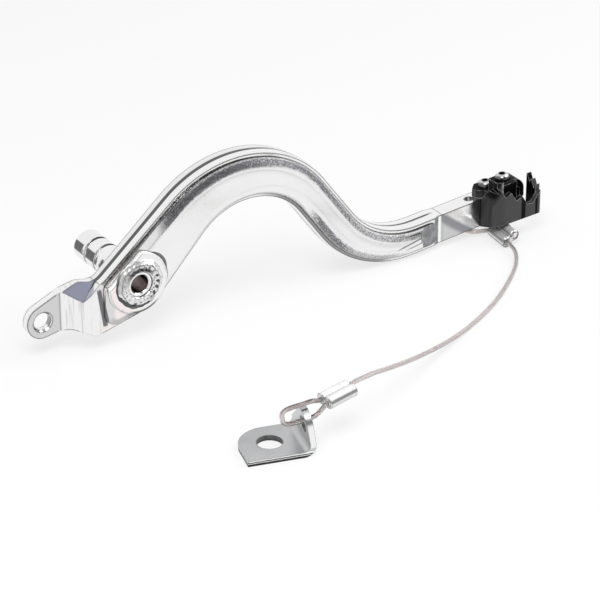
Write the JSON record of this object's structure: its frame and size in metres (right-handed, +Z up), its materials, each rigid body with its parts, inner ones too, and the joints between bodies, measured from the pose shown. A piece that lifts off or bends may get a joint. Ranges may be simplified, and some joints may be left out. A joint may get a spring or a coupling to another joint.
{
  "type": "rear brake pedal",
  "caption": "S-shaped forged rear brake pedal with a welded-in pivot tube, a push-rod lug, a toothed folded toe step and a wire-rope safety tether that ends in a bolt-on tab.",
  "frame": {"origin": "on the pivot axis, in the mid-plane of the arm", "axes": "+X from the pivot to the toe, +Y inboard along the pivot tube, +Z up"},
  "size_m": [0.2588, 0.165, 0.0753],
  "materials": {
    "arm_metal": "bright tumbled and polished forging, grainy in the hollow beside the rim",
    "tube_metal": "turned",
    "weld_metal": "rippled weld, as laid",
    "step_black": "satin black coat",
    "screw_steel": "bright zinc plate",
    "rope_steel": "stranded wire under a clear coat",
    "ferrule_metal": "pressed, bright",
    "tab_steel": "zinc plate, sheared edges"
  },
  "bodies": {
    "pedal": {"pedal_arm": "arm_metal", "pivot_tube": "tube_metal", "pivot_weld_bead": "weld_metal", "toe_step": "step_black", "step_screws": "screw_steel", "toe_eye": "rope_steel", "toe_ferrule": "ferrule_metal", "tether_rope": "rope_steel", "tab_ferrule": "ferrule_metal", "tab_eye": "rope_steel"},
    "tab": {"anchor_tab": "tab_steel"}
  },
  "joints": [
    {"name": "tab_swing", "type": "hinge", "parent": "pedal", "child": "tab", "pos_m": [0.01135, -0.12137, -0.01231], "axis": [0.2622, 0.965, 0], "range_deg": [-55, 45]}
  ]
}
